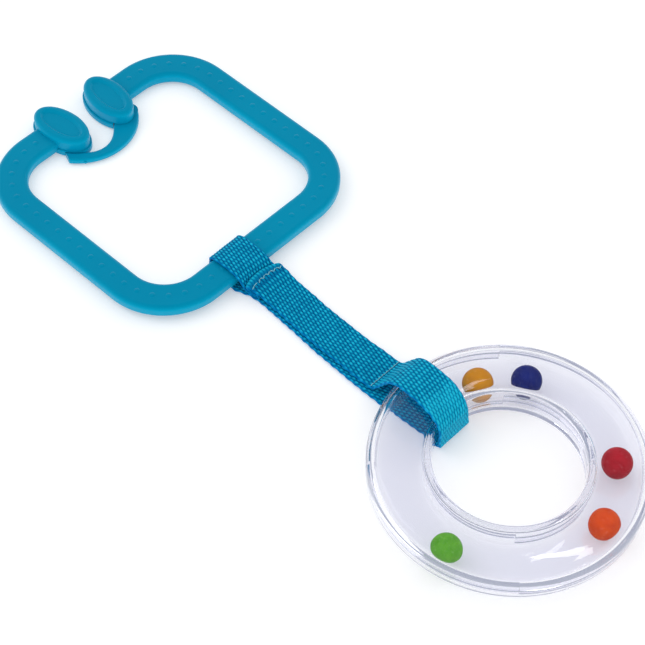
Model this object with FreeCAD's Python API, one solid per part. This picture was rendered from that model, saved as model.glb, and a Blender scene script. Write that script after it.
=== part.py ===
import FreeCAD, Part
import math
import os

# Baby rattle: an open square link frame with a snap gate arm, one length of webbing looped round
# the link frame and round a clear hollow ring, and five loose balls inside the ring.
# Millimetres, +Z up, lying on a flat surface at z = 0, +X from the link frame to the ring.
# Origin: middle of the whole object's footprint, on the resting plane.
# "Link axes" have the same directions, with their origin at the link frame's centre.

V = FreeCAD.Vector
os.makedirs("parts", exist_ok=True)

# ---------------------------------------------------------------- link frame sizes
LINK_HALF = 40.4          # link centre to bar centreline
BAR_W = 10.4              # bar width, seen from above
BAR_T = 4.5               # bar thickness
BAR_CORNER_R = 17.5       # corner radius of the bar centreline
BAR_EDGE_R = 1.6          # rounding of the bar's long edges
BAR_END = 9.9             # each free end stops this far from y = 0, under its pad
LINK_OUT = LINK_HALF + BAR_W / 2
STRAIGHT = LINK_HALF - BAR_CORNER_R      # half the straight part of a side

DOT_R = 0.95              # raised dots, low domes
DOT_H = 0.26
DOT_ROOT = 0.2            # how far a dot reaches down into the bar
DOT_PITCH = 5.03          # least spacing along the bar centreline
DOT_START = 20.6          # first and last dot, from the middle of the -X side

PADS = {1: (-38.1, 9.3), -1: (-39.4, -10.1)}   # pad centres by side of y = 0, link axes
PAD_TILT = 5.5            # turn of each oval; they lean opposite ways, degrees
PLATE_A, PLATE_B, PLATE_H = 11.4, 6.85, 2.3    # half length, half width, height
PLATE_EDGE_R = 0.45
BUTTON_A, BUTTON_B, BUTTON_TOP = 10.8, 6.25, 6.8
BUTTON_EDGE_R = 1.55
DISH_A, DISH_B, DISH_DEPTH = 8.5, 3.9, 0.75    # hollow in the button's top
DISH_TAPER = 0.95         # the dish floor is this much smaller all round
DISH_OVERCUT = 0.01

# ---------------------------------------------------------------- snap gate arm sizes
ARM_X, ARM_Y = -40.3, -1.2     # centre of the outer arc, link axes
ARM_R = 18.9
ARM_T = 2.2
TIP_DEG = -53.8                # end of the outer arc
EYE_X, EYE_Y = -31.4, 12.0     # round root, under the +Y pad, link axes
EYE_R = 3.0
EYE_GAP = 0.06                 # clearance of the root in its socket
POCKET_GAP = 0.18              # clearance between the arm and the pads' plates
LONG_EDGE = 15                 # arm edges longer than this are rounded
# (x, y) along the arm's inner edge, the one facing the pads, tip to root, link axes
ARM_INNER = [(-32.5, -15.1), (-29.9, -12.9), (-27.45, -10.0), (-25.85, -7.2), (-25.35, -4.3),
             (-25.9, -1.6), (-27.6, 1.3), (-30.4, 4.2), (-32.7, 7.2), (-33.6, 10.1)]
NUB_DEG, NUB_SINK = -38, 0.6   # place on the arc, and depth of the base inside it
NUB_R_BASE, NUB_R_END, NUB_LENGTH, NUB_Z = 0.7, 0.4, 1.0, 0.9

# ---------------------------------------------------------------- webbing sizes, x and y in link axes
WEB_W = 13.0              # width
WEB_T = 1.15              # thickness
WEB_Y = -8.5              # centreline
BEND_GAP = 0.95           # half the opening left at each bend
LINK_BEND_X = 58.0        # bend next to the link loop
RING_BEND_X = 99.8        # bend next to the ring loop
STRAP_EDGE_R = 0.3
BAND_SAMPLES = 14         # offset points per span of a band's mid-line
THREAD_R = 0.20

PLY_PITCH = WEB_T + 0.10          # plies lie 0.10 apart
LOWER_Z = 0.05 + WEB_T / 2        # mid-heights of the four plies, bottom to top
UPPER_Z = LOWER_Z + PLY_PITCH
FOLD_Z = UPPER_Z + PLY_PITCH
HEM_Z = FOLD_Z + PLY_PITCH

# ---------------------------------------------------------------- ring and ball sizes
RING_X, RING_Y = 151.2, -9.4      # ring centre, link axes
RING_OUT, RING_IN, RING_H = 41.2, 22.6, 11.8
RING_MID_R = (RING_OUT + RING_IN) / 2
RING_WALL = 1.1                   # top and bottom walls
RING_SIDE = 1.9                   # side walls, thicker for the welded joint
RING_EDGE_OUT, RING_EDGE_IN = 3.6, 1.5    # outside edge radii
FLOOR_EDGE_OUT, FLOOR_EDGE_IN = 2.2, 1.2  # channel edge radii
RING_CROWN = 0.45                 # bulge of the bottom face and of the channel floor
TONGUE = 1.85                     # height of the weld tongue above or below mid-height
WELD_GAP = 0.02
STEP_CUT = 0.06                   # width of the cut between a tongue and the next groove
SEAM_Z = RING_H / 2

BALL_R = 4.7
BALL_GAP = 0.04
BALLS = {                         # angle about the ring's axis from +X, distance from the axis
    "ball_yellow": (148.8, 29.7),
    "ball_blue": (120.9, 30.8),
    "ball_red": (46.7, 31.4),
    "ball_orange": (7.6, 32.3),
    "ball_green": (-80.2, 33.9),
}

# ---------------------------------------------------------------- placing
PAD_REACH = math.hypot(PLATE_A * math.cos(math.radians(PAD_TILT)),
                       PLATE_B * math.sin(math.radians(PAD_TILT)))
X_MIN, X_MAX = PADS[-1][0] - PAD_REACH, RING_X + RING_OUT
Y_MIN, Y_MAX = RING_Y - RING_OUT, LINK_OUT
LINK_X, LINK_Y = -(X_MIN + X_MAX) / 2, -(Y_MIN + Y_MAX) / 2    # link centre, object's frame
WEB_Y0 = WEB_Y - WEB_W / 2 + LINK_Y                            # webbing's -Y edge, object's frame

LINK_TILT = 0.86                  # the link frame leans on the webbing, degrees
LINK_PIVOT_X = X_MIN + 0.45
RING_TILT = 1.22                  # the ring leans on the webbing that passes under it, degrees
RING_PIVOT_X = RING_MID_R - 1.0   # from the ring's axis


def to_link(shape):
    """Tilt a part in link axes, +X side up, and move it to the object's frame."""
    placed = shape.copy()
    placed.rotate(V(LINK_PIVOT_X, 0, 0), V(0, 1, 0), -LINK_TILT)
    placed.translate(V(LINK_X, LINK_Y, 0))
    return placed


def to_ring(shape):
    """Tilt a part built about the ring's axis, -X side up, and move it to the object's frame."""
    placed = shape.copy()
    placed.rotate(V(RING_PIVOT_X, 0, 0), V(0, 1, 0), RING_TILT)
    placed.translate(V(RING_X + LINK_X, RING_Y + LINK_Y, 0))
    return placed


# ---------------------------------------------------------------- shared helpers
def tidy(shape):
    """Merge split faces and unwrap a single solid."""
    # Keeps the unmerged shape where the kernel cannot merge its faces soundly.
    try:
        merged = shape.removeSplitter()
        if not merged.isValid():
            merged = shape
    except Exception:
        merged = shape
    return merged.Solids[0] if len(merged.Solids) == 1 else merged


def save(name, shape):
    assert shape.isValid(), name
    assert all(shell.isClosed() for shell in shape.Shells), name
    shape.exportStep("parts/%s.step" % name)


def prism(wire, height):
    return Part.Face(wire).extrude(V(0, 0, height))


def sorted_wire(edges):
    return Part.Wire(Part.__sortEdges__(edges))


def spline(points):
    curve = Part.BSplineCurve()
    curve.interpolate(points)
    return curve


def edges_at(shape, z, tol=1e-4):
    """Edges that lie wholly at height z."""
    return [edge for edge in shape.Edges
            if abs(edge.BoundBox.ZMin - z) < tol and abs(edge.BoundBox.ZMax - z) < tol]


def profile_edges(start, steps):
    """Edges in the XZ plane; a step is (end,) for a line or (middle, end) for an arc."""
    edges = []
    for step in steps:
        points = [V(x, 0, z) for x, z in (start, *step)]
        curve = Part.LineSegment(*points) if len(points) == 2 else Part.Arc(*points)
        edges.append(curve.toShape())
        start = step[-1]
    return edges


def turned(x, y, quarters):
    """Point (x, y) after quarter turns anticlockwise about the origin."""
    for _ in range(quarters):
        x, y = -y, x
    return V(x, y, 0)


# ---------------------------------------------------------------- link frame
def round_square(half, radius):
    flat = half - radius
    mid = flat + radius * math.sqrt(0.5)
    edges = []
    for quarter in range(4):
        start, end = turned(half, -flat, quarter), turned(half, flat, quarter)
        edges.append(Part.LineSegment(start, end).toShape())
        edges.append(Part.Arc(end, turned(mid, mid, quarter),
                              turned(flat, half, quarter)).toShape())
    return Part.Wire(edges)


def open_bar():
    """Rounded square bar, open in the middle of its -X side."""
    outer = prism(round_square(LINK_OUT, BAR_CORNER_R + BAR_W / 2), BAR_T)
    inner = prism(round_square(LINK_HALF - BAR_W / 2, BAR_CORNER_R - BAR_W / 2), BAR_T)
    bar = outer.cut(inner)
    bar = bar.makeFillet(BAR_EDGE_R, edges_at(bar, 0) + edges_at(bar, BAR_T))
    return bar.cut(Part.makeBox(20, 2 * BAR_END, 20, V(-LINK_HALF - 10, -BAR_END, -5)))


def pad(side):
    """Oval plate and dished button at one free end of the bar."""
    centre_x, centre_y = PADS[side]

    def oval(half_length, half_width, z):
        wire = Part.Wire([Part.Ellipse(V(0, 0, 0), half_length, half_width).toShape()])
        wire.rotate(V(0, 0, 0), V(0, 0, 1), -side * PAD_TILT)
        wire.translate(V(centre_x, centre_y, z))
        return wire

    plate = prism(oval(PLATE_A, PLATE_B, 0), PLATE_H)
    plate = plate.makeFillet(PLATE_EDGE_R, edges_at(plate, 0) + edges_at(plate, PLATE_H))
    button = prism(oval(BUTTON_A, BUTTON_B, PLATE_H), BUTTON_TOP - PLATE_H)
    button = button.makeFillet(BUTTON_EDGE_R, edges_at(button, BUTTON_TOP))
    dish = Part.makeLoft([
        oval(DISH_A, DISH_B, BUTTON_TOP + DISH_OVERCUT),
        oval(DISH_A - DISH_TAPER, DISH_B - DISH_TAPER, BUTTON_TOP - DISH_DEPTH)], True)
    return plate, button.cut(dish)


def on_centreline(distance):
    """Point on the bar centreline, from the middle of the -X side towards -Y and on round."""
    corner_length = math.pi * BAR_CORNER_R / 2
    side, travel = divmod(distance + STRAIGHT, 2 * STRAIGHT + corner_length)
    if travel <= 2 * STRAIGHT:
        x, y = -LINK_HALF, STRAIGHT - travel
    else:
        angle = math.pi + (travel - 2 * STRAIGHT) / BAR_CORNER_R
        x = -STRAIGHT + BAR_CORNER_R * math.cos(angle)
        y = -STRAIGHT + BAR_CORNER_R * math.sin(angle)
    return turned(x, y, int(side))


def grip_dots():
    """Low domes along the bar, stopped short of the pads."""
    run = 8 * STRAIGHT + 2 * math.pi * BAR_CORNER_R - 2 * DOT_START
    count = int(run / DOT_PITCH) + 1
    spacing = run / (count - 1)
    sphere_r = (DOT_R ** 2 + DOT_H ** 2) / (2 * DOT_H)
    dots = []
    for i in range(count):
        spot = on_centreline(DOT_START + i * spacing)
        sphere = Part.makeSphere(sphere_r, V(spot.x, spot.y, BAR_T + DOT_H - sphere_r))
        keep = Part.makeBox(4, 4, 2, V(spot.x - 2, spot.y - 2, BAR_T - DOT_ROOT))
        dots.append(sphere.common(keep))
    return dots


def arm_arc_point(degrees, radius=ARM_R):
    angle = math.radians(degrees)
    return V(ARM_X + radius * math.cos(angle), ARM_Y + radius * math.sin(angle), 0)


def arm_inner_edge(shift=0.0):
    """Arm's inner edge moved by shift towards the arc's centre, with its tip and root points."""
    points = []
    for x, y in ARM_INNER:
        reach = math.hypot(x - ARM_X, y - ARM_Y)
        points.append(V(x - shift * (x - ARM_X) / reach, y - shift * (y - ARM_Y) / reach, 0))
    return spline(points).toShape(), points[0], points[-1]


def arm_pocket():
    """Room in the plates for the arm: everything on the +X side of its inner edge."""
    edge, tip, root = arm_inner_edge(POCKET_GAP)
    tip_line = arm_arc_point(TIP_DEG) - V(*ARM_INNER[0], 0)
    tip_line.normalize()
    corner = tip + V(tip_line.y, -tip_line.x, 0) * POCKET_GAP
    outline = Part.makePolygon([
        tip, corner, corner + tip_line * 12, V(-12, -20, 0), V(-12, 20, 0),
        V(EYE_X + 6, EYE_Y + 8, 0), V(EYE_X, EYE_Y, 0), root])
    pocket = prism(sorted_wire(list(outline.Edges) + [edge]), PLATE_H + 0.5)
    pocket.translate(V(0, 0, -0.5))
    return pocket


def link_frame():
    plate_plus, button_plus = pad(1)
    plate_minus, button_minus = pad(-1)
    pocket = arm_pocket()
    socket = Part.makeCylinder(EYE_R + EYE_GAP, PLATE_H + 0.5, V(EYE_X, EYE_Y, -0.5))
    plate_plus = plate_plus.cut(pocket).cut(socket)
    plate_minus = plate_minus.cut(pocket)
    frame = tidy(open_bar().fuse([plate_plus, plate_minus, button_plus, button_minus]))
    return tidy(frame.fuse(grip_dots()))


# ---------------------------------------------------------------- snap gate arm
def snap_gate_arm():
    """Curved arm, flat on the link frame's underside, with a round root and a small nub."""
    root_deg = math.degrees(math.atan2(EYE_Y - ARM_Y, EYE_X - ARM_X))
    tip_out, root_out = arm_arc_point(TIP_DEG), arm_arc_point(root_deg)
    edge, tip_in, root_in = arm_inner_edge()
    arm = prism(sorted_wire([
        Part.Arc(tip_out, arm_arc_point(0), root_out).toShape(),
        Part.LineSegment(root_out, root_in).toShape(),
        edge,
        Part.LineSegment(tip_in, tip_out).toShape()]), ARM_T)
    eye = Part.makeCylinder(EYE_R, ARM_T, V(EYE_X, EYE_Y, 0))
    arm = max(arm.cut(eye).Solids, key=lambda solid: solid.Volume)

    long_tops = [e for e in edges_at(arm, ARM_T) if e.Length > LONG_EDGE]
    for top_r, bottom_r in ((0.9, 0.5), (0.6, 0.4), (0.4, 0.3)):
        # The kernel may refuse a radius on the curved edges; the next smaller pair is then used.
        try:
            soft = arm.makeFillet(top_r, long_tops)
            long_bottoms = [e for e in edges_at(soft, 0) if e.Length > LONG_EDGE]
            soft = soft.makeFillet(bottom_r, long_bottoms)
            if soft.isValid() and len(soft.Solids) == 1:
                arm = soft
                break
        except Exception:
            continue
    arm = tidy(arm.fuse(Part.makeCylinder(EYE_R, ARM_T, V(EYE_X, EYE_Y, 0))))

    # small cone on the outer face, near the tip
    base = arm_arc_point(NUB_DEG, ARM_R - NUB_SINK)
    angle = math.radians(NUB_DEG)
    nub = Part.makeCone(NUB_R_BASE, NUB_R_END, NUB_LENGTH, V(base.x, base.y, NUB_Z),
                        V(math.cos(angle), math.sin(angle), 0))
    return tidy(arm.fuse(nub))


save("link_frame", to_link(link_frame()))
save("snap_gate_arm", to_link(snap_gate_arm()))

# ---------------------------------------------------------------- webbing
# One band, in sections that part at the bends.
LINK_LOOP_END = LINK_BEND_X - BEND_GAP
STRAP_START = LINK_BEND_X + BEND_GAP
STRAP_END = RING_BEND_X - BEND_GAP
RING_LOOP_START = RING_BEND_X + BEND_GAP

# (x, z) along the mid-line: tail under the hem, over the bar, behind it, back underneath
LINK_LOOP = [
    (55.0, UPPER_Z), (52.6, UPPER_Z), (50.9, UPPER_Z + 0.25), (49.5, 3.05), (48.2, 4.65),
    (46.9, 6.05), (45.2, 6.85), (42.5, 7.02), (38.5, 6.98), (36.0, 6.65), (34.45, 5.6),
    (34.05, 3.9), (34.35, 2.1), (35.3, 0.98), (37.2, 0.64), (39.5, LOWER_Z), (46.0, LOWER_Z),
    (52.0, LOWER_Z), (LINK_LOOP_END, LOWER_Z)]
# (x, z) along the mid-line: up over the ring tube, down inside the hole, back underneath
RING_LOOP = [
    (RING_LOOP_START, UPPER_Z + 0.02), (101.7, UPPER_Z + 0.03), (102.5, UPPER_Z + 0.22),
    (103.3, 2.95), (104.4, 4.6), (106.0, 7.2), (107.8, 10.1), (109.7, 12.55), (112.6, 14.15),
    (116.5, 14.95), (120.5, 14.95), (124.5, 14.6), (128.3, 13.95), (130.6, 12.7), (131.4, 10.6),
    (131.45, 8.2), (131.35, 5.2), (131.2, 3.2), (130.6, 1.75), (129.3, 0.87),
    (127.4, LOWER_Z + 0.03), (125.0, LOWER_Z), (118.0, LOWER_Z), (110.0, LOWER_Z),
    (RING_LOOP_START, LOWER_Z)]
# (x, z) along the hem's upper face, from the bend to the flat top
HEM_TOP = HEM_Z + WEB_T / 2
HEM_SLOPE = [
    (LINK_LOOP_END, UPPER_Z + WEB_T / 2), (56.6, UPPER_Z + WEB_T / 2 + 0.25),
    (55.9, FOLD_Z + 0.55), (55.1, HEM_Z + 0.3), (54.2, HEM_TOP), (52.2, HEM_TOP)]
HEM_NOSE_X = 51.9         # centre of the rounded fold


def web_solid(edges):
    """Closed XZ profile in link axes, extruded across the webbing's width."""
    solid = Part.Face(sorted_wire(edges)).extrude(V(0, WEB_W, 0))
    solid.translate(V(LINK_X, WEB_Y0, 0))
    return solid


def band(path):
    """Strip of webbing whose mid-line runs smoothly through path."""
    middle = spline([V(x, 0, z) for x, z in path])
    first, last = middle.FirstParameter, middle.LastParameter
    count = BAND_SAMPLES * (len(path) - 1)
    left, right = [], []      # of the direction of travel, seen with +X right and +Z up
    for i in range(count + 1):
        parameter = first + (last - first) * i / count
        point, along = middle.value(parameter), middle.tangent(parameter)[0]
        normal = V(-along.z, 0, along.x)
        left.append(point + normal * (WEB_T / 2))
        right.append(point - normal * (WEB_T / 2))
    return web_solid([
        spline(left).toShape(), Part.LineSegment(left[-1], right[-1]).toShape(),
        spline(right).toShape(), Part.LineSegment(right[0], left[0]).toShape()])


def webbing_hem():
    """Folded end of the upper ply, sewn down over the link loop's tail."""
    fold_bottom = FOLD_Z - WEB_T / 2
    nose_z = (FOLD_Z + HEM_Z) / 2
    nose_r = (HEM_Z - FOLD_Z + WEB_T) / 2
    slope = spline([V(x, 0, z) for x, z in HEM_SLOPE]).toShape()
    return web_solid([slope] + profile_edges(HEM_SLOPE[-1], [
        ((HEM_NOSE_X, HEM_TOP),),
        ((HEM_NOSE_X - nose_r, nose_z), (HEM_NOSE_X, fold_bottom)),
        ((55.1, fold_bottom),),
        ((55.6, UPPER_Z - WEB_T / 2),),
        ((LINK_LOOP_END, UPPER_Z - WEB_T / 2),),
        (HEM_SLOPE[0],)]))


def strap_ply(mid_z):
    """One flat ply between the bends, with its long edges rounded."""
    length = STRAP_END - STRAP_START
    corner = V(STRAP_START + LINK_X, WEB_Y0, mid_z - WEB_T / 2)
    ply = Part.makeBox(length, WEB_W, WEB_T, corner)
    long_edges = [e for e in ply.Edges if abs(e.BoundBox.XLength - length) < 1e-6]
    return ply.makeFillet(STRAP_EDGE_R, long_edges)


def stitch_row(x_start, x_end, z, margin, count, fill):
    """Row of stitches across the webbing; each runs from x_start to x_end over fill of its pitch."""
    pitch = (WEB_W - 2 * margin) / count
    stitches = []
    for i in range(count):
        start = V(x_start + LINK_X, WEB_Y0 + margin + pitch * i, z)
        end = V(x_end + LINK_X, WEB_Y0 + margin + pitch * (i + fill), z)
        stitches.append(Part.makeCylinder(THREAD_R, (end - start).Length, start, end - start))
    return Part.Compound(stitches)


save("webbing_link_loop", band(LINK_LOOP))
save("webbing_hem", webbing_hem())
save("webbing_lower_ply", strap_ply(LOWER_Z))
save("webbing_upper_ply", strap_ply(UPPER_Z))
save("webbing_ring_loop", band(RING_LOOP))
save("stitch_seam_link", stitch_row(x_start=52.95, x_end=53.55, z=HEM_TOP + THREAD_R + 0.06,
                                    margin=0.9, count=9, fill=0.86))
save("stitch_seam_ring", stitch_row(x_start=101.65, x_end=101.65,
                                    z=UPPER_Z + WEB_T / 2 + THREAD_R + 0.17,
                                    margin=0.5, count=8, fill=0.9))


# ---------------------------------------------------------------- clear ring
# Two identical halves, welded at mid-height.
def half_section(sign):
    """Lower half's section in (r, z); sign is +1 with the inner tongue, -1 with its groove."""
    to_arc = 1 - math.sqrt(0.5)       # corner to arc middle along each axis, per unit radius
    seam = SEAM_Z - WELD_GAP
    edge_out, edge_in = RING_EDGE_OUT, RING_EDGE_IN
    floor_out, floor_in = FLOOR_EDGE_OUT, FLOOR_EDGE_IN
    wall_out, wall_in = RING_OUT - RING_SIDE, RING_IN + RING_SIDE    # channel's side walls
    floor = RING_WALL + RING_CROWN    # channel floor's height at its two edges
    joint_z = SEAM_Z + sign * TONGUE - WELD_GAP
    joint_in = RING_IN + RING_SIDE / 2 + sign * WELD_GAP
    joint_out = RING_OUT - RING_SIDE / 2 - sign * WELD_GAP
    return Part.Face(Part.Wire(profile_edges((RING_OUT, seam), [
        # outside, from the outer seam round the bottom to the inner seam
        ((RING_OUT, edge_out + RING_CROWN),),
        ((RING_OUT - edge_out * to_arc, edge_out * to_arc + RING_CROWN),
         (RING_OUT - edge_out, RING_CROWN)),
        (((RING_OUT - edge_out + RING_IN + edge_in) / 2, 0.0), (RING_IN + edge_in, RING_CROWN)),
        ((RING_IN + edge_in * to_arc, edge_in * to_arc + RING_CROWN),
         (RING_IN, edge_in + RING_CROWN)),
        ((RING_IN, seam),),
        # inner wall's joint
        ((joint_in, seam),),
        ((joint_in, joint_z),),
        ((wall_in, joint_z),),
        # channel, its floor slightly lower in the middle
        ((wall_in, floor + floor_in),),
        ((wall_in + floor_in * to_arc, floor + floor_in * to_arc), (wall_in + floor_in, floor)),
        ((RING_MID_R, RING_WALL), (wall_out - floor_out, floor)),
        ((wall_out - floor_out * to_arc, floor + floor_out * to_arc),
         (wall_out, floor + floor_out)),
        ((wall_out, joint_z),),
        # outer wall's joint
        ((joint_out, joint_z),),
        ((joint_out, seam),),
        ((RING_OUT, seam),)])))


def ring_half():
    """Lower half: quadrants with a tongue and with a groove in turn."""
    quadrants = []
    for i, sign in enumerate((1, -1, 1, -1)):
        quadrant = half_section(sign).revolve(V(0, 0, 0), V(0, 0, 1), 90)
        quadrant.rotate(V(0, 0, 0), V(0, 0, 1), 45 + 90 * i)
        quadrants.append(quadrant)
    half = quadrants[0].fuse(quadrants[1:])
    # hairline clearance at the four steps between a tongue and the next groove
    for i in range(4):
        slit = Part.makeBox(RING_SIDE * 2 + 60, STEP_CUT, TONGUE,
                            V(0, -STEP_CUT / 2, SEAM_Z - WELD_GAP))
        slit.rotate(V(0, 0, 0), V(0, 0, 1), 45 + 90 * i)
        half = half.cut(slit)
    return tidy(half)


lower_shell = ring_half()
upper_shell = lower_shell.copy()
upper_shell.rotate(V(0, 0, SEAM_Z), V(1, 1, 0), 180)    # the same moulding, turned over
save("ring_lower_shell", to_ring(lower_shell))
save("ring_upper_shell", to_ring(upper_shell))


# ---------------------------------------------------------------- loose balls
def ball(degrees, distance):
    """Ball just clear of the channel floor, which rises away from its middle."""
    angle = math.radians(degrees)
    floor_half = (RING_OUT - RING_IN - 2 * RING_SIDE - FLOOR_EDGE_OUT - FLOOR_EDGE_IN) / 2
    rise = RING_CROWN * ((distance - RING_MID_R) / floor_half) ** 2
    return Part.makeSphere(BALL_R, V(distance * math.cos(angle), distance * math.sin(angle),
                                     RING_WALL + rise + BALL_R + BALL_GAP))


for name, (degrees, distance) in BALLS.items():
    save(name, to_ring(ball(degrees, distance)))
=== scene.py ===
# Baby rattle: a plastic snap link, a woven strap and a clear hollow ring holding five balls.
# It lies flat on the floor (z = 0), link towards -X and ring towards +X, strap widths along Y.
# Shapes are in millimetres from the centre of the link frame; to_world() moves them to the
# shared frame in metres. Materials, lights and camera are in metres.
import math
import bmesh
import bpy
import numpy as np
from mathutils import Matrix, Vector


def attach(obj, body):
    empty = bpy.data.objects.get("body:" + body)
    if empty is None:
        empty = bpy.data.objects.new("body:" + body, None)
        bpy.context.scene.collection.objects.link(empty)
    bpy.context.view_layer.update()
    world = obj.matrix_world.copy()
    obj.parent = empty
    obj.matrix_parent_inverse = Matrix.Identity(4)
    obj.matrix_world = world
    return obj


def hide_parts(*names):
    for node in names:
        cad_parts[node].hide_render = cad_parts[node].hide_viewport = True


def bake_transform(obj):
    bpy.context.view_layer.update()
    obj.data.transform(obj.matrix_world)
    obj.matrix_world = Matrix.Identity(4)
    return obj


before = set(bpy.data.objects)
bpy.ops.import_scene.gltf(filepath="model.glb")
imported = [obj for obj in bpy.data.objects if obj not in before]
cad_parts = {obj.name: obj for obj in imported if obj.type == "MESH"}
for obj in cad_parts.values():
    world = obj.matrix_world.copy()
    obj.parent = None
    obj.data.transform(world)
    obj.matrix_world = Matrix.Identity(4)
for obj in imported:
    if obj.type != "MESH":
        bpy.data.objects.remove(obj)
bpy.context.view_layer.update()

LINK_CENTRE = np.array([-70.817, 2.500, 0.0])   # in the shared frame
RING_X, RING_Y = 151.2, -9.4                    # the ring's axis
RING_TILT = math.radians(1.22)                  # lifts the ring's strap side
RING_PIVOT = 30.9                               # x of the tilt's hinge, from the ring's axis


# ------------------------------------------------------------------ geometry helpers
def to_world(points):
    return (np.asarray(points, float) + LINK_CENTRE) / 1000.0


def ring_to_world(points):
    """Ring's own axes (centre on its axis, underside at 0) to the shared frame."""
    dx, y, z = points[..., 0] - RING_PIVOT, points[..., 1], points[..., 2]
    cos, sin = math.cos(RING_TILT), math.sin(RING_TILT)
    x = RING_X + RING_PIVOT + dx * cos + z * sin
    return to_world(np.stack([x, RING_Y + y, -dx * sin + z * cos], -1))


def unit(vectors):
    length = np.linalg.norm(vectors, axis=-1, keepdims=True)
    return vectors / np.maximum(length, 1e-9)


def add_object(name, data):
    ob = bpy.data.objects.new(name, data)
    bpy.context.scene.collection.objects.link(ob)
    return ob


def add_smooth(name, mesh):
    mesh.polygons.foreach_set("use_smooth", np.ones(len(mesh.polygons), bool))
    return add_object(name, mesh)


def new_mesh(name, verts, faces):
    mesh = bpy.data.meshes.new(name)
    mesh.from_pydata([tuple(v) for v in verts], [], faces)
    mesh.update()
    return add_smooth(name, mesh)


def skin(name, sections, closed):
    """Skin closed sections (section, point, xyz): joined end to end, or capped flat."""
    index = np.arange(sections.shape[0] * sections.shape[1]).reshape(sections.shape[:2])
    here = index if closed else index[:-1]
    ahead = np.roll(index, -1, axis=0)[:len(here)]
    corners = [here, ahead, np.roll(ahead, -1, axis=1), np.roll(here, -1, axis=1)]
    faces = np.stack(corners, -1).reshape(-1, 4).tolist()
    if not closed:
        faces += [index[0].tolist(), index[-1][::-1].tolist()]
    ob = new_mesh(name, sections.reshape(-1, 3), faces)
    if not closed:
        ob.data.polygons[-1].use_smooth = False
        ob.data.polygons[-2].use_smooth = False
    return ob


def dress(ob, mat):
    ob.data.materials.append(mat)


def between(t, start, end, at_start, at_end):
    span = end - start
    return (end - t) / span * at_start + (t - start) / span * at_end


def spline(stations, per_span=24):
    """Centripetal Catmull-Rom curve through the rows of stations."""
    rows = np.asarray(stations, float)
    padded = np.vstack([2 * rows[0] - rows[1], rows, 2 * rows[-1] - rows[-2]])
    curve = []
    for i in range(1, len(padded) - 2):
        points = padded[i - 1:i + 3]
        gaps = [max(np.linalg.norm(b - a), 1e-6) ** 0.5 for a, b in zip(points, points[1:])]
        knots = np.cumsum([0.0, *gaps])
        for t in np.linspace(knots[1], knots[2], per_span, endpoint=False):
            first = [between(t, knots[j], knots[j + 1], points[j], points[j + 1])
                     for j in range(3)]
            second = [between(t, knots[j], knots[j + 2], first[j], first[j + 1])
                      for j in range(2)]
            curve.append(between(t, knots[1], knots[2], *second))
    curve.append(rows[-1])
    return np.array(curve)


# ------------------------------------------------------------------ node helpers
def grey(level):
    return (level,) * 3


BLACK, WHITE = grey(0), grey(1)


class Graph:
    """A node tree. Inputs take a socket to link or a plain value; colours are RGB."""

    def __init__(self, tree):
        self.tree = tree

    def feed(self, socket, value):
        if isinstance(value, bpy.types.NodeSocket):
            self.tree.links.new(value, socket)
        else:
            socket.default_value = (*value, 1) if socket.type == "RGBA" else value

    def add(self, kind, inputs=None, **settings):
        node = self.tree.nodes.new("ShaderNode" + kind)
        for key, value in settings.items():
            setattr(node, key, value)
        for key, value in (inputs or {}).items():
            self.feed(node.inputs[key], value)
        return node

    def surface(self, inputs):
        """Set inputs of the Principled shader."""
        for key, value in inputs.items():
            self.feed(self.tree.nodes["Principled BSDF"].inputs[key], value)

    def math(self, operation, *values, clamp=False):
        inputs = dict(enumerate(values))
        return self.add("Math", inputs, operation=operation, use_clamp=clamp).outputs[0]

    def ramp(self, fac, *stops):
        """Colour ramp through (position, colour) stops."""
        node = self.add("ValToRGB", {"Fac": fac})
        elements = node.color_ramp.elements
        elements.remove(elements[-1])
        elements[0].position, elements[0].color = stops[0][0], (*stops[0][1], 1)
        for position, colour in stops[1:]:
            elements.new(position).color = (*colour, 1)
        return node.outputs["Color"]

    def mix(self, fac, first, second, mode="MIX"):
        inputs = {0: fac, 6: first, 7: second}
        return self.add("Mix", inputs, data_type="RGBA", blend_type=mode).outputs[2]

    def coords(self, scale=(1.0, 1.0, 1.0)):
        place = self.add("TexCoord").outputs["Object"]
        return self.add("Mapping", {"Vector": place, "Scale": scale}).outputs["Vector"]

    def noise(self, vector, scale, detail=3.0, roughness=0.55):
        inputs = {"Vector": vector, "Scale": scale, "Detail": detail, "Roughness": roughness}
        return self.add("TexNoise", inputs).outputs["Fac"]

    def attribute(self, name):
        return self.add("Attribute", attribute_name=name).outputs["Fac"]

    def height_of(self, vector):
        return self.add("SeparateXYZ", {0: vector}).outputs["Z"]

    def bump(self, height, strength, distance):
        inputs = {"Strength": strength, "Distance": distance, "Height": height}
        self.surface({"Normal": self.add("Bump", inputs).outputs["Normal"]})


def new_material(name, roughness):
    mat = bpy.data.materials.new(name)
    mat.use_nodes = True
    graph = Graph(mat.node_tree)
    graph.surface({"Roughness": roughness})
    return mat, graph


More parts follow.
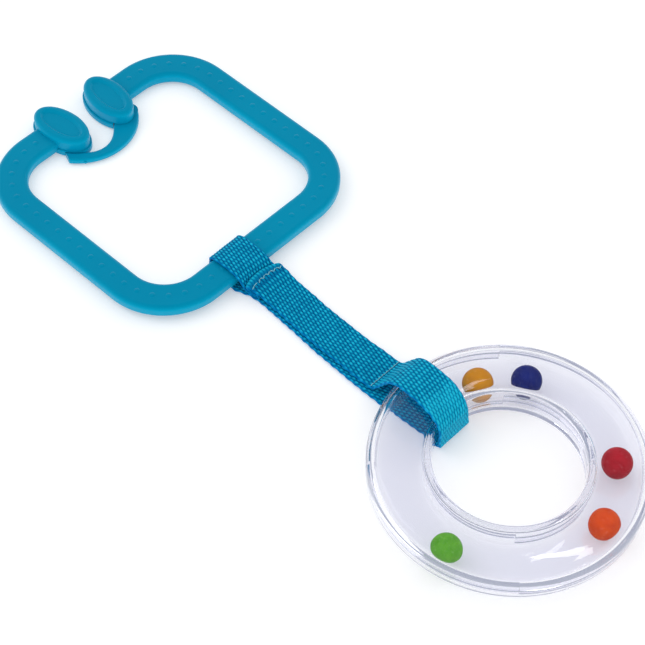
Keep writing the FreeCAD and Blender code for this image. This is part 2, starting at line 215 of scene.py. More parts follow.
# ------------------------------------------------------------------ materials
def link_plastic():
    """Satin moulded plastic: flow mottling, fine grain, and painted bounce light that makes
    upright walls paler than flats.
    """
    mat, graph = new_material("link_plastic_satin", roughness=0.36)
    place = graph.coords()
    mottle = graph.noise(place, scale=28.0)
    flat = graph.ramp(mottle, (0.30, (0.0, 0.244, 0.412)), (0.70, (0.0, 0.270, 0.445)))
    # painted light: upright walls get a paler colour, standing in for bounce light from the floor
    # and light through the plastic
    wall_lit_colour = graph.ramp(mottle, (0.30, (0.0, 0.350, 0.560)), (0.70, (0.0, 0.385, 0.600)))
    facing = graph.height_of(graph.add("NewGeometry").outputs["Normal"])
    upright = graph.ramp(graph.math("ABSOLUTE", facing), (0.25, WHITE), (0.93, BLACK))
    colour = graph.mix(upright, flat, wall_lit_colour)
    grain = graph.noise(place, scale=900.0, detail=2.0)
    colour = graph.mix(graph.math("MULTIPLY", grain, 0.08), colour, (0.0, 0.36, 0.54))
    smear = graph.math("MULTIPLY", graph.noise(place, scale=160.0), 0.14)
    graph.surface({
        "Base Color": colour,
        "Roughness": graph.math("ADD", smear, 0.26),
        "IOR": 1.49,
        "Specular IOR Level": 0.30,
        "Specular Tint": (0.06, 0.65, 1.0),
    })
    graph.bump(graph.noise(place, scale=1500.0, detail=2.0), strength=0.10, distance=0.00006)
    return mat


def webbing():
    """Warp-faced woven webbing: colour follows the weave's height as painted shade in the gaps
    and a painted highlight on the float tops, with fine filaments.
    """
    mat, graph = new_material("webbing_blue", roughness=0.55)
    height = graph.attribute("weave_h_light_shade")
    chance = graph.attribute("weave_rnd")
    along = graph.attribute("along")
    across = graph.attribute("across")
    # painted shade and highlight: dark blue in the gaps between floats, pale cyan highlight on
    # the float tops
    colour = graph.ramp(height, (0.0, (0.0, 0.042, 0.175)), (0.40, (0.0, 0.140, 0.325)),
                        (0.74, (0.0, 0.275, 0.490)), (1.0, (0.014, 0.510, 0.700)))
    per_float = graph.ramp(chance, (0.0, (0.92, 0.93, 0.94)), (1.0, grey(1.05)))
    colour = graph.mix(1.0, colour, per_float, "MULTIPLY")
    # filaments: noise drawn out along the strap
    drawn = graph.add("CombineXYZ", {0: graph.math("MULTIPLY", along, 1.1),
                                     1: graph.math("MULTIPLY", across, 9.0)})
    filament = graph.noise(drawn.outputs[0], scale=1.0, detail=2.0, roughness=0.6)
    shade = graph.ramp(filament, (0.30, (0.78, 0.82, 0.86)), (0.65, (1.06, 1.06, 1.05)))
    colour = graph.mix(0.75, colour, shade, "MULTIPLY")
    # painted shade: the strap's edges are tinted a darker, saturated blue
    selvedge_shade = graph.math("MULTIPLY", graph.attribute("selvedge_shade"), 0.66)
    colour = graph.mix(selvedge_shade, colour, (0.0, 0.245, 0.620))
    broad = graph.noise(graph.coords(), scale=70.0, detail=2.0)
    patches = graph.ramp(broad, (0.3, (0.90, 0.92, 0.94)), (0.7, (1.06, 1.05, 1.04)))
    graph.surface({
        "Base Color": graph.mix(0.5, colour, patches, "MULTIPLY"),
        "Roughness": graph.math("SUBTRACT", 0.80, graph.math("MULTIPLY", height, 0.20)),
        "Specular IOR Level": 0.12,
        "Specular Tint": (0.10, 0.75, 1.0),
    })
    graph.bump(filament, strength=0.55, distance=0.00008)
    return mat


def pale_thread():
    mat, graph = new_material("thread_pale", roughness=0.6)
    place = graph.coords()
    mottle = graph.noise(place, scale=1800.0, detail=2.0)
    colour = graph.ramp(mottle, (0.3, (0.10, 0.42, 0.52)), (0.7, (0.30, 0.66, 0.72)))
    graph.surface({"Base Color": colour, "Sheen Weight": 0.2})
    graph.bump(graph.noise(place, scale=3000.0, detail=2.0), strength=0.4, distance=0.00005)
    return mat


def clear_plastic():
    """Polished clear plastic with a faint lavender cast and a pale shadow."""
    mat, graph = new_material("clear_plastic_lavender", roughness=0.015)
    place = graph.coords()
    mottle = graph.noise(place, scale=30.0, detail=2.0)
    tint = graph.ramp(mottle, (0.35, (0.940, 0.941, 0.976)), (0.65, (0.952, 0.953, 0.983)))
    graph.surface({"IOR": 1.50, "Transmission Weight": 1.0, "Base Color": tint})
    graph.bump(graph.noise(place, scale=55.0, detail=2.0), strength=0.10, distance=0.0004)
    # lamps and floor light pass straight through, and a path caught inside a wall is let out
    path = graph.add("LightPath").outputs
    passing = graph.add("BsdfTransparent", {"Color": (0.95, 0.95, 0.97)}).outputs[0]
    caught = graph.math("GREATER_THAN", path["Ray Depth"], 9.5)
    last = graph.tree.nodes["Principled BSDF"].outputs[0]
    for fac in (path["Is Diffuse Ray"], caught, path["Is Shadow Ray"]):
        last = graph.add("MixShader", {0: fac, 1: last, 2: passing}).outputs[0]
    graph.feed(graph.tree.nodes["Material Output"].inputs["Surface"], last)
    return mat


def ball_wax(name, low, high):
    """Waxy plastic clouded between two colours, with small scuffs, painted shade underneath and
    painted light on top.
    """
    roughness = 0.42
    mat, graph = new_material(name, roughness)
    place = graph.coords()
    cloud = graph.noise(place, scale=330.0, detail=4.0, roughness=0.6)
    colour = graph.ramp(cloud, (0.32, low), (0.68, high))
    rub = graph.noise(graph.coords((700.0, 1500.0, 900.0)), scale=1.0, roughness=0.65)
    scuff = graph.math("MULTIPLY", graph.ramp(rub, (0.60, BLACK), (0.74, WHITE)), 0.30)
    colour = graph.mix(scuff, colour, tuple(min(1.0, c + 0.30) for c in high))
    # 0 at 1.5 mm above the floor, rising to 1 about 9.5 mm higher
    above = graph.math("SUBTRACT", graph.height_of(place), 0.0015)
    rise = graph.math("MULTIPLY", above, 105.0, clamp=True)
    # painted shade and light: the colour darkens towards the bottom of the ball and brightens
    # past its own colour on top
    shade = graph.ramp(rise, (0.0, grey(0.60)), (0.55, grey(0.90)), (1.0, grey(1.16)))
    smear = graph.math("MULTIPLY", graph.noise(place, scale=600.0), 0.30)
    graph.surface({
        "Base Color": graph.mix(1.0, colour, shade, "MULTIPLY"),
        "Roughness": graph.math("ADD", smear, roughness - 0.15),
        "Subsurface Weight": 0.12,
        "Subsurface Scale": 0.0008,
        "Specular IOR Level": 0.04,
    })
    graph.bump(graph.noise(place, scale=700.0), strength=0.25, distance=0.0001)
    return mat


# ------------------------------------------------------------------ link frame and snap arm
link_material = link_plastic()
for name in ("link_frame", "snap_gate_arm"):
    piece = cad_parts[name]
    piece.data.materials.clear()
    dress(piece, link_material)


# ------------------------------------------------------------------ webbing
WEB_W = 13.0
WARPS = 24
YARN = WEB_W / WARPS
FLOAT_STEP = 1.60      # shift along the strap between floats of neighbouring warp yarns
WEAVE_DEPTH = 0.33
CORE_HALF = 0.26       # half the thickness under the weave
BAND_STEP = 0.26       # length of a mesh row
BAND_COLUMNS = 100
EDGE_ROUND = 0.62      # width over which the selvedge rounds off
PLAIN_HEIGHT = 0.72    # weave height that colours a part where no weave shows


def weave(along, across, shift):
    """Height (0 to 1.05) and per-float random number of a warp-faced plain weave."""
    nearest = np.floor(across / YARN)
    height = np.full(along.shape, -1.0)
    chance = np.zeros(along.shape)
    for step in (-1, 0, 1):
        warp = np.clip(nearest + step, 0, WARPS - 1)
        phase = along / FLOAT_STEP + warp + shift
        number = np.round(phase / 2.0)
        place = phase - 2.0 * number                 # -1 to 1 round the float's middle
        rand = np.sin(warp * 12.9898 + number * 78.233) * 43758.5453
        rand -= np.floor(rand)
        swell = 0.5 + 0.5 * np.cos(math.pi * place)
        reach = YARN * (0.46 + 0.34 * swell)         # half the yarn's width, fullest mid-float
        # the yarn's centre line leans across each float and strays a little
        off = across - (warp + 0.5) * YARN + 0.30 * YARN * place - (rand - 0.5) * 0.06
        round_top = np.sqrt(np.clip(1.0 - (off / reach) ** 2, 0.0, 1.0))
        z = (0.55 * swell ** 1.25 * (0.90 + 0.20 * rand)
             + 0.45 * round_top * (0.30 + 0.70 * swell) - 0.9 * (np.abs(off) > reach))
        higher = z > height
        height = np.where(higher, z, height)
        chance = np.where(higher, rand, chance)
    return np.clip(height, 0.0, 1.05), chance


def around(top, bottom):
    """Columns once round the section: over the top, back along the bottom."""
    return np.concatenate([top, bottom[:, -2:0:-1]], axis=1)


PLAIN = (0, 1, 1, 0)


def band(name, near, far, looks, run_end=None, direction=1.0, shift=0.0):
    """Woven strip between two matched edge curves. Rows of looks are bow of the mid-width
    along x, share of thickness left, share of weave showing and light_tone, painted light where
    above 0 and painted shade where below; missing ones are PLAIN.
    The weave's run counts from the start, or reaches run_end at the end.
    Returns the object and its length."""
    looks = looks + [PLAIN] * (len(near) - len(looks))
    curve = spline(np.hstack([near, far, looks]))
    centre = (curve[:, :3] + curve[:, 3:6]) / 2
    steps = np.linalg.norm(np.diff(centre, axis=0), axis=1)
    travel = np.concatenate([[0], np.cumsum(steps)])
    length = travel[-1]
    run = np.linspace(0, length, max(4, int(round(length / BAND_STEP))) + 1)
    rows = np.stack([np.interp(run, travel, column) for column in curve.T], 1)
    for _ in range(2):                               # soften a little, ends kept
        rows[1:-1] = 0.25 * rows[:-2] + 0.5 * rows[1:-1] + 0.25 * rows[2:]
    bow, squash, show, light_tone = (rows[:, i][:, None] for i in (6, 7, 8, 9))

    v = np.linspace(0, 1, BAND_COLUMNS + 1)
    mid = (rows[:, None, :3] * (1 - v)[None, :, None]
           + rows[:, None, 3:6] * v[None, :, None])
    mid[:, :, 0] += bow * (4 * v * (1 - v))[None] ** 0.8
    sideways = np.gradient(mid, axis=1)
    normal = unit(np.cross(np.gradient(mid, axis=0), sideways))
    sideways = unit(sideways)

    if run_end is not None:
        run = run_end + direction * (run - length)
    along, across = np.meshgrid(run, v * WEB_W, indexing="ij")
    edge = np.broadcast_to(np.minimum(v, 1 - v) * WEB_W, along.shape)
    rounding = np.sqrt(np.clip(1 - (1 - np.clip(edge / EDGE_ROUND, 0, 1)) ** 2, 0, 1))
    # the edges wander slowly and are scalloped by the weave
    wander = 0.05 * np.sin(along * 0.37 + 1.3) + 0.03 * np.sin(along * 0.91)
    scallop = 0.10 * np.cos(math.pi * (along / FLOAT_STEP)) * np.exp(-edge / 0.7)
    side = np.where(v < 0.5, -1.0, 1.0)[None]
    mid = mid + sideways * ((scallop * side + wander * np.exp(-edge / 3.0) * side)[..., None])

    ripple = 0.02 * np.sin(along * 1.7 + across * 0.9)
    lift = WEAVE_DEPTH * show * squash
    base = CORE_HALF * squash
    rest = WEAVE_DEPTH * (1 - show) * 0.75 * squash
    faces, colours, chances = [], [], []
    for sign in (1, -1):                             # upper face, then lower
        height, chance = weave(along, across, shift + (sign < 0))
        out = rounding * (base + lift * height + rest) + sign * ripple
        faces.append(mid + sign * normal * out[..., None])
        # painted light and shade: light_tone is added to the weave height, and the value darkens
        # where the edges round off
        colours.append((height * show + PLAIN_HEIGHT * (1 - show) + light_tone)
                       * (0.62 + 0.38 * rounding))
        chances.append(chance)
    ob = skin(name, to_world(around(*faces)), closed=False)
    for key, values in (
        # weave height carrying the painted light and shade
        ("weave_h_light_shade", np.clip(around(*colours), 0, 1)),
        ("weave_rnd", around(*chances)),
        ("along", around(along, along + 211.0)),     # other filaments on the lower face
        ("across", around(across, across)),
        # mask for the painted shade along the strap's edges
        ("selvedge_shade", np.clip(1 - around(edge, edge) / 0.55, 0, 1)),
    ):
        attribute = ob.data.attributes.new(key, "FLOAT", "POINT")
        attribute.data.foreach_set("value", np.asarray(values, np.float32).ravel())
    return ob, length


# Edge stations (x, y, z); near is the -Y edge and far the +Y edge
MID_X = 79.0           # the bands meet here, in the middle of the strap
LOW_Z, TOP_Z = 0.64, 1.90                            # centres of the lower and upper plies

# upper ply from the middle of the strap, round the ring's tube and back as the lower ply
RING_NEAR = [
    (MID_X, -14.45, TOP_Z), (84, -14.50, TOP_Z), (90, -14.55, TOP_Z), (96, -14.60, TOP_Z),
    (99.5, -14.60, TOP_Z), (101.6, -14.55, 1.95), (102.8, -14.5, 2.55), (104.0, -14.5, 4.1),
    (105.4, -14.6, 6.4), (107.2, -14.8, 9.3), (109.3, -15.1, 12.1), (112.4, -15.3, 13.95),
    (116.5, -15.4, 14.35), (120.5, -15.5, 14.25), (124.5, -15.9, 14.1), (128.1, -16.6, 13.75),
    (130.5, -17.2, 12.55), (131.4, -17.35, 10.6), (131.45, -17.3, 8.0), (131.4, -17.1, 5.3),
    (131.2, -16.6, 3.2), (130.55, -16.0, 1.75), (129.3, -15.6, 0.92), (127.3, -15.5, 0.68),
    (124.0, -15.7, LOW_Z), (118.0, -16.0, LOW_Z), (110.0, -16.2, LOW_Z),
    (102.5, -16.2, LOW_Z), (96.0, -16.1, LOW_Z), (88.0, -15.9, LOW_Z), (MID_X, -15.45, LOW_Z)]
RING_FAR = [
    (MID_X, -1.45, TOP_Z), (84, -1.50, TOP_Z), (90, -1.50, TOP_Z), (96, -1.30, TOP_Z),
    (99.5, -1.25, TOP_Z), (101.6, -1.2, 1.95), (102.9, -1.2, 2.55), (104.3, -1.2, 4.1),
    (105.9, -1.2, 6.4), (107.8, -1.3, 9.1), (109.9, -1.5, 11.8), (112.9, -1.7, 13.4),
    (116.8, -1.9, 13.85), (120.6, -2.1, 13.85), (124.4, -2.7, 13.8), (127.7, -3.6, 13.45),
    (130.1, -4.4, 12.3), (131.15, -4.6, 10.5), (131.3, -4.4, 8.0), (131.25, -4.1, 5.3),
    (131.05, -3.4, 3.2), (130.5, -2.7, 1.75), (129.3, -2.4, 0.92), (127.4, -2.4, 0.68),
    (124.0, -2.6, LOW_Z), (118.0, -2.9, LOW_Z), (110.0, -3.1, LOW_Z), (102.5, -3.1, LOW_Z),
    (96.0, -3.0, LOW_Z), (88.0, -2.8, LOW_Z), (MID_X, -2.45, LOW_Z)]
# painted light: lighter where it rises over the ring, most from its top down the +X side
RING_LOOKS = [PLAIN] * 6 + [(0, 1, 1, 0.08)] * 8 + [(0, 1, 1, 0.30)] * 7

# tail under the hem, over the link's bar, round it, and back as the lower ply
LINK_NEAR = [
    (54.6, -13.7, 1.90), (52.8, -14.0, 1.90), (51.2, -14.4, 2.0), (50.1, -14.7, 2.45),
    (49.1, -14.9, 3.3), (48.2, -15.0, 4.4), (47.0, -15.2, 5.75), (45.2, -15.3, 6.65),
    (42.5, -15.25, 6.78), (38.5, -15.2, 6.74), (36.1, -15.2, 6.35), (34.5, -15.1, 5.2),
    (34.05, -15.0, 3.8), (34.35, -15.2, 2.1), (35.3, -15.5, 1.0), (37.2, -15.8, 0.68),
    (39.5, -15.9, LOW_Z), (43.0, -16.0, LOW_Z), (46.0, -15.9, LOW_Z), (48.5, -15.1, LOW_Z),
    (51.0, -14.3, LOW_Z), (54.5, -14.0, LOW_Z), (60.0, -14.1, LOW_Z), (66.0, -14.5, LOW_Z),
    (72.5, -15.0, LOW_Z), (MID_X, -15.45, LOW_Z)]
LINK_FAR = [
    (54.8, -0.7, 1.90), (53.2, -0.9, 1.90), (51.9, -1.1, 2.0), (50.9, -1.3, 2.45),
    (49.9, -1.6, 3.3), (48.8, -1.9, 4.4), (47.4, -2.2, 5.75), (45.3, -2.3, 6.65),
    (42.5, -2.25, 6.78), (38.5, -2.2, 6.74), (36.1, -2.1, 6.35), (34.4, -2.0, 5.2),
    (33.95, -2.0, 3.8), (34.25, -2.2, 2.1), (35.3, -2.5, 1.0), (37.2, -2.8, 0.68),
    (39.5, -2.9, LOW_Z), (43.0, -3.0, LOW_Z), (46.0, -2.9, LOW_Z), (48.5, -2.2, LOW_Z),
    (51.0, -1.4, LOW_Z), (54.5, -1.1, LOW_Z), (60.0, -1.2, LOW_Z), (66.0, -1.5, LOW_Z),
    (72.5, -2.0, LOW_Z), (MID_X, -2.45, LOW_Z)]
# last values below 0 are painted shade where the tail rises under the hem's folded crest
LINK_LOOKS = [
    (-1.0, 0.75, 1, 0), (-1.2, 0.75, 1, 0), (-1.4, 0.75, 1, -0.1), (-1.5, 0.8, 1, -0.15),
    (-1.3, 0.9, 1, -0.1), (-0.8, 1, 1, 0), (-0.3, 1, 1, 0)]

# folded end sewn on top of the loop's tail, then the upper ply to the middle of the strap
HEM_NEAR = [
    (54.2, -13.9, 2.72), (52.9, -14.1, 2.80), (51.6, -14.4, 2.95), (50.8, -14.6, 3.25),
    (50.2, -14.7, 3.80), (50.35, -14.7, 4.35), (51.0, -14.6, 4.58), (51.9, -14.4, 4.22),
    (52.9, -14.15, 3.85), (54.2, -13.8, 3.45), (55.8, -13.55, 2.75), (57.6, -13.35, 2.18),
    (60.0, -13.2, TOP_Z), (66.0, -13.7, TOP_Z), (72.0, -14.1, TOP_Z), (MID_X, -14.45, TOP_Z)]
HEM_FAR = [
    (54.4, -0.4, 2.72), (53.1, -0.5, 2.80), (51.9, -0.5, 2.95), (51.2, -0.6, 3.25),
    (50.75, -0.7, 3.80), (50.85, -0.7, 4.35), (51.4, -0.6, 4.52), (52.2, -0.5, 4.15),
    (53.2, -0.45, 3.80), (54.5, -0.4, 3.40), (56.0, -0.4, 2.72), (57.7, -0.4, 2.18),
    (60.0, -0.5, TOP_Z), (66.0, -0.8, TOP_Z), (72.0, -1.2, TOP_Z), (MID_X, -1.45, TOP_Z)]
# last values are painted light on the hem's folded crest and painted shade just behind it
HEM_LOOKS = [
    (-1.0, 0.7, 1, 0), (-1.4, 0.7, 1, 0), (-1.8, 0.7, 0.8, 0), (-2.1, 0.85, 0.5, 0.0),
    (-2.1, 0.95, 0.35, 0.10), (-2.0, 0.95, 0.35, 0.22), (-1.8, 0.9, 0.7, 0.05),
    (-1.0, 0.8, 0.7, -0.22), (-0.5, 0.8, 0.9, -0.12), (-0.2, 0.9, 1, 0.0)]

web_material = webbing()
ring_band, ring_len = band("webbing_ring_band", RING_NEAR, RING_FAR, RING_LOOKS)
# the weave carries on unbroken where the bands meet
link_band, _ = band("webbing_link_band", LINK_NEAR, LINK_FAR, LINK_LOOKS,
                    run_end=ring_len, direction=-1.0, shift=-1.0)
hem_band, _ = band("webbing_hem_band", HEM_NEAR, HEM_FAR, HEM_LOOKS, run_end=0.0)
for piece in (ring_band, link_band, hem_band):
    dress(piece, web_material)


# ------------------------------------------------------------------ stitches
THREAD_R = 0.14
THREAD_SIDES = 8


def thread_tube(stations):
    """Lobed thread with tapered ends along a short curve. Returns verts and faces."""
    path = spline(stations, per_span=10)
    last = len(path) - 1
    verts, faces = [], []
    for i, heading in enumerate(unit(np.gradient(path, axis=0))):
        across = unit(np.cross((0.0, 0.0, 1.0), heading))
        upward = np.cross(heading, across)
        u = i / last
        taper = max(0.0, abs(2 * u - 1) - 0.75) ** 2 * 14
        radius = THREAD_R * math.sqrt(max(0.06, 1 - taper))
        for k in range(THREAD_SIDES):
            angle = 2 * math.pi * k / THREAD_SIDES
            lobe = 1.0 + 0.14 * math.cos(3 * angle + u * 26)
            out = across * math.cos(angle) + upward * math.sin(angle)
            verts.append(path[i] + out * radius * lobe)
    for i in range(last):
        row, ahead = i * THREAD_SIDES, (i + 1) * THREAD_SIDES
        for k in range(THREAD_SIDES):
            k2 = (k + 1) % THREAD_SIDES
            faces.append((row + k, row + k2, ahead + k2, ahead + k))
    faces.append(tuple(range(THREAD_SIDES))[::-1])
    faces.append(tuple(last * THREAD_SIDES + k for k in range(THREAD_SIDES)))
    return verts, faces


def seam(name, stitches):
    verts, faces = [], []
    for stitch in stitches:
        more, rings = thread_tube(stitch)
        faces += [tuple(i + len(verts) for i in face) for face in rings]
        verts += more
    return new_mesh(name, to_world(np.array(verts)), faces)


def hem_stitches():
    """Zigzag across the hem, bowed towards -X in the middle of the width, and a tail."""
    pitch, low, high = 1.07, 4.42, 4.86
    left, right = 51.75, 52.5
    stitches = []
    for i in range(9):
        start = -1.0 - i * pitch
        xs = (left, (left + right) / 2, right)
        ys = (start, start - 0.53, start - pitch)
        shares = [(-y - 0.6) / 13.6 for y in ys]
        stitches.append([(x - 1.2 * 4 * share * (1 - share), y, z)
                         for x, y, z, share in zip(xs, ys, (low, high, low), shares)])
        left, right = right, left
    stitches.append([(51.1, -11.0, 4.5), (51.5, -12.6, 4.92), (52.0, -14.0, 4.5)])
    return stitches


def ring_stitches():
    """Row of short stitches where the upper ply starts up the ring."""
    starts = [-1.35 - i * 1.6 for i in range(8)]
    return [[(101.75, y, 2.45), (101.7, y - 0.78, 2.72), (101.72, y - 1.5, 2.45)]
            for y in starts]


thread_material = pale_thread()
seam_link = seam("stitch_thread_link", hem_stitches())
seam_ring = seam("stitch_thread_ring", ring_stitches())
for piece in (seam_link, seam_ring):
    dress(piece, thread_material)


# ------------------------------------------------------------------ clear ring: two hollow shells
OUTER_R, INNER_R, RING_H = 41.2, 22.6, 11.8
WALL, SIDE = 1.1, 1.9                # thickness of the flat walls and of the side walls
OUTER_ROUND, INNER_ROUND = 3.6, 1.5  # outside rounds at the ring's outer and inner sides
OUTER_FILLET, INNER_FILLET = 2.2, 1.2  # the same two corners inside the cavity
CROWN = 0.45                         # how far the flat walls bulge
TONGUE, WELD_GAP = 1.85, 0.02
WELD_Z = RING_H / 2


def arc(r, z, radius, start, end, count):
    return [(r + radius * math.cos(math.radians(a)), z + radius * math.sin(math.radians(a)))
            for a in np.linspace(start, end, count)]


def crown(start, end, edge_z, mid_z):
    """Parabola between two radii, its end points left out."""
    mid = (start + end) / 2
    return [(r, mid_z + (edge_z - mid_z) * ((r - mid) / ((end - start) / 2)) ** 2)
            for r in np.linspace(start, end, 15)[1:-1]]


def shell_profile(weld):
    """Closed section of the lower half (r, z); weld is 1 for a tongue, -1 for a groove."""
    edge = WELD_Z - WELD_GAP
    lip = WELD_Z + weld * TONGUE - WELD_GAP
    inner_step = INNER_R + SIDE / 2 + weld * WELD_GAP
    outer_step = OUTER_R - SIDE / 2 - weld * WELD_GAP
    outer_turn, inner_turn = OUTER_R - OUTER_ROUND, INNER_R + INNER_ROUND
    cavity_in, cavity_out = INNER_R + SIDE, OUTER_R - SIDE
    cavity_z = WALL + CROWN
    inner_turn_z = cavity_z + INNER_FILLET
    outer_turn_z = cavity_z + OUTER_FILLET
    return np.array([
        (OUTER_R, edge), (OUTER_R, edge - 0.12), (OUTER_R, (edge + OUTER_ROUND + CROWN) / 2),
        *arc(outer_turn, CROWN + OUTER_ROUND, OUTER_ROUND, 0, -90, 11),
        *crown(outer_turn, inner_turn, CROWN, 0.0),
        *arc(inner_turn, CROWN + INNER_ROUND, INNER_ROUND, -90, -180, 8),
        (INNER_R, (edge + INNER_ROUND + CROWN) / 2), (INNER_R, edge - 0.12), (INNER_R, edge),
        (inner_step, edge), (inner_step, lip), (cavity_in, lip),
        (cavity_in, (lip + inner_turn_z) / 2),
        *arc(cavity_in + INNER_FILLET, inner_turn_z, INNER_FILLET, 180, 270, 7),
        *crown(cavity_in + INNER_FILLET, cavity_out - OUTER_FILLET, cavity_z, WALL),
        *arc(cavity_out - OUTER_FILLET, outer_turn_z, OUTER_FILLET, -90, 0, 8),
        (cavity_out, (lip + outer_turn_z) / 2), (cavity_out, lip),
        (outer_step, lip), (outer_step, edge)])


def shell(name, upper):
    """One moulded half: four quarters, tongue and groove by turns, joined by short steps."""
    sections = []
    for quarter in range(4):
        r, z = shell_profile(1 if quarter % 2 == 0 else -1).T
        start = 45 + 90 * quarter
        for degrees in np.linspace(start + 0.06, start + 90 - 0.06, 60):
            angle = math.radians(degrees)
            sections.append(np.stack([r * math.cos(angle), r * math.sin(angle), z], -1))
    points = np.array(sections)
    if upper:                        # the same moulding turned over about the x = y line
        points = np.stack([points[..., 1], points[..., 0], RING_H - points[..., 2]], -1)
    ob = skin(name, ring_to_world(points), closed=True)
    bm = bmesh.new()
    bm.from_mesh(ob.data)
    bmesh.ops.recalc_face_normals(bm, faces=bm.faces)
    for edge in bm.edges:            # keep the weld steps crisp, everything else soft
        if len(edge.link_faces) == 2:
            edge.smooth = edge.calc_face_angle(0) < math.radians(32)
    bm.to_mesh(ob.data)
    bm.free()
    return ob


clear_material = clear_plastic()
ring_lower = shell("ring_shell_lower", upper=False)
ring_upper = shell("ring_shell_upper", upper=True)
for piece in (ring_lower, ring_upper):
    dress(piece, clear_material)


# ------------------------------------------------------------------ balls
BALL_R = 4.66
BALL_REST = 4.74                     # ball's centre above the cavity's crowned floor
# name, degrees round the ring, distance from its axis, darker colour, lighter colour
BALLS = [
    ("ball_yellow", 148.8, 29.7, (0.52, 0.195, 0.000), (0.66, 0.265, 0.001)),
    ("ball_blue", 120.9, 30.8, (0.000, 0.005, 0.115), (0.001, 0.012, 0.175)),
    ("ball_red", 46.7, 31.4, (0.37, 0.001, 0.007), (0.50, 0.004, 0.014)),
    ("ball_orange", 7.6, 32.3, (0.66, 0.052, 0.000), (0.84, 0.090, 0.001)),
    ("ball_green", -80.2, 33.9, (0.085, 0.34, 0.016), (0.15, 0.47, 0.034))]


def ball_radii(directions, seed):
    """Slightly out of round, with a faint parting line and a small gate scar."""
    rng = np.random.default_rng(seed)
    axis = rng.normal(size=3)
    axis[2] = abs(axis[2]) * 0.3
    axis = unit(axis)
    gate = unit(np.cross(axis, rng.normal(size=3)))
    radii = np.full(len(directions), BALL_R)
    for _ in range(10):
        wave = directions @ unit(rng.normal(size=3))
        radii += 0.010 * np.cos(wave * rng.uniform(2, 5) + rng.uniform(0, 6.28))
    radii += 0.020 * np.exp(-(directions @ axis / 0.012) ** 2)
    from_gate = np.linalg.norm(directions - gate, axis=1)
    radii -= 0.10 * np.exp(-(from_gate / 0.10) ** 4)
    radii += 0.07 * np.exp(-((from_gate - 0.13) / 0.03) ** 2)
    return radii


def make_ball(seed, name, degrees, distance, low, high):
    angle = math.radians(degrees)
    half_width = (OUTER_R - SIDE - OUTER_FILLET - INNER_R - SIDE - INNER_FILLET) / 2
    rise = CROWN * ((distance - (OUTER_R + INNER_R) / 2) / half_width) ** 2
    centre = np.array([distance * math.cos(angle), distance * math.sin(angle),
                       WALL + rise + BALL_REST])
    bm = bmesh.new()
    bmesh.ops.create_icosphere(bm, subdivisions=6, radius=1.0)
    directions = np.array([v.co[:] for v in bm.verts])
    points = ring_to_world(centre + directions * ball_radii(directions, seed)[:, None])
    for vert, point in zip(bm.verts, points):
        vert.co = point
    mesh = bpy.data.meshes.new(name + "_moulded")
    bm.to_mesh(mesh)
    bm.free()
    ob = add_smooth(name + "_moulded", mesh)
    dress(ob, ball_wax(name + "_wax", low, high))
    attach(ob, name)
    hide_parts(name)


for seed, ball in enumerate(BALLS, start=11):
    make_ball(seed, *ball)


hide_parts("webbing_ring_loop", "webbing_upper_ply", "webbing_lower_ply")
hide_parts("webbing_link_loop")
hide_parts("webbing_hem")
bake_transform(ring_band)
for piece in (link_band, hem_band):
    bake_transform(piece)
for piece, carrier, replaced in (
    (seam_link, "link_loop", "stitch_seam_link"),
    (seam_ring, "ring_loop", "stitch_seam_ring"),
    (ring_lower, "ring", "ring_lower_shell"),
    (ring_upper, "ring", "ring_upper_shell"),
):
    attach(piece, carrier)
    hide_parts(replaced)


# ------------------------------------------------------------------ floor, light, camera
def studio_floor():
    half = 3.0
    mesh = bpy.data.meshes.new("studio_floor")
    corners = [(-half, -half, 0), (half, -half, 0), (half, half, 0), (-half, half, 0)]
    mesh.from_pydata(corners, [], [(0, 1, 2, 3)])
    ob = add_object("studio_floor", mesh)
    ob.location.z = -0.00015
    mat, graph = new_material("studio_floor", roughness=0.6)
    graph.surface({
        "Base Color": grey(0.80),
        "Specular IOR Level": 0.2,
        "Emission Color": WHITE,
        "Emission Strength": 0.30,
    })
    mesh.materials.append(mat)
    return ob


def softbox(name, location, target, size, power, mirrored=False):
    """Rectangular lamp aimed at target; shiny faces show it only if mirrored."""
    light = bpy.data.lights.new(name, "AREA")
    light.shape = "RECTANGLE"
    light.size, light.size_y = size
    light.energy = power
    ob = add_object(name, light)
    ob.location = location
    ob.visible_glossy = mirrored
    ob.rotation_mode = "QUATERNION"
    ob.rotation_quaternion = (Vector(target) - Vector(location)).to_track_quat("-Z", "Y")


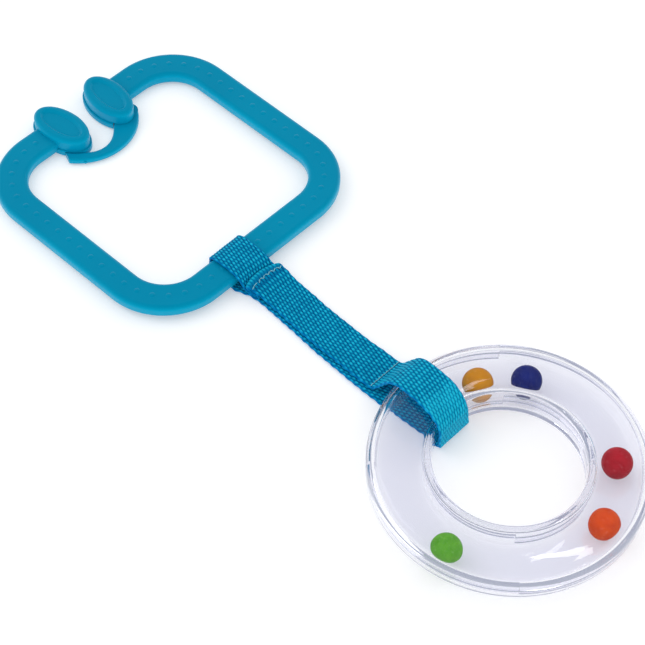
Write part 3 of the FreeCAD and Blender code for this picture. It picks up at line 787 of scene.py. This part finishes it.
def studio_world():
    """Even pale light; shiny faces mirror pale walls and a dim ceiling."""
    pale = 0.84
    world = bpy.data.worlds.new("studio")
    world.use_nodes = True
    graph = Graph(world.node_tree)
    path = graph.add("LightPath").outputs
    height = graph.height_of(graph.add("TexCoord").outputs["Generated"])
    dim = graph.add("MapRange", {"Value": height, "From Min": 0.30, "From Max": 0.62,
                                 "To Min": pale, "To Max": 0.05})
    pick = graph.add("Mix", {0: path["Is Glossy Ray"], 2: pale}, data_type="FLOAT")
    # paths caught inside the clear ring end on grey walls
    caught = graph.math("GREATER_THAN", path["Ray Depth"], 3.5)
    deep = graph.add("Mix", {0: caught, 2: dim.outputs["Result"], 3: 0.56},
                     data_type="FLOAT")
    graph.feed(pick.inputs[3], deep.outputs[0])
    caught_glossy = graph.math("MULTIPLY", caught, path["Is Glossy Ray"])
    colour = graph.mix(caught_glossy, (0.97, 0.98, 1.0), (0.78, 0.83, 1.0))
    background = world.node_tree.nodes["Background"]
    graph.feed(background.inputs["Color"], colour)
    graph.feed(background.inputs["Strength"], pick.outputs[0])
    bpy.context.scene.world = world


def studio_camera():
    data = bpy.data.cameras.new("camera")
    data.sensor_width = 36.0
    data.lens = 118.14
    data.clip_start, data.clip_end = 0.01, 20.0
    camera = add_object("camera", data)
    axes = Matrix(((0.7214513, 0.6921936, 0.0193899),      # camera's right
                   (-0.5562948, 0.5626789, 0.6114971),     # its up
                   (0.4123641, -0.4519519, 0.7910091)))    # away from the view
    place = Matrix.Translation((0.269688, -0.295445, 0.511766))
    camera.matrix_world = place @ axes.transposed().to_4x4()
    bpy.context.scene.camera = camera


studio_floor()
softbox("softbox_left", location=(-0.50, -0.35, 0.75), target=(0.0, 0.0, 0.0),
        size=(0.60, 0.60), power=1.5)
softbox("softbox_back", location=(0.05, 0.85, 0.75), target=(0.02, 0.0, 0.0),
        size=(0.90, 0.40), power=0.5)
softbox("softbox_right", location=(0.75, -0.50, 0.32), target=(0.02, 0.0, 0.0),
        size=(0.60, 0.40), power=0.5)
softbox("softbox_strip", location=(0.028, 0.350, 0.829), target=(0.113, -0.020, 0.0125),
        size=(0.15, 0.035), power=0.10, mirrored=True)
studio_world()
studio_camera()

scene = bpy.context.scene
scene.view_settings.view_transform = "Standard"
scene.view_settings.look = "None"
scene.cycles.use_denoising = True
scene.cycles.max_bounces = 24
scene.cycles.transmission_bounces = 20
scene.cycles.transparent_max_bounces = 24
scene.cycles.glossy_bounces = 8
scene.cycles.diffuse_bounces = 4
scene.cycles.caustics_reflective = True
scene.cycles.caustics_refractive = True
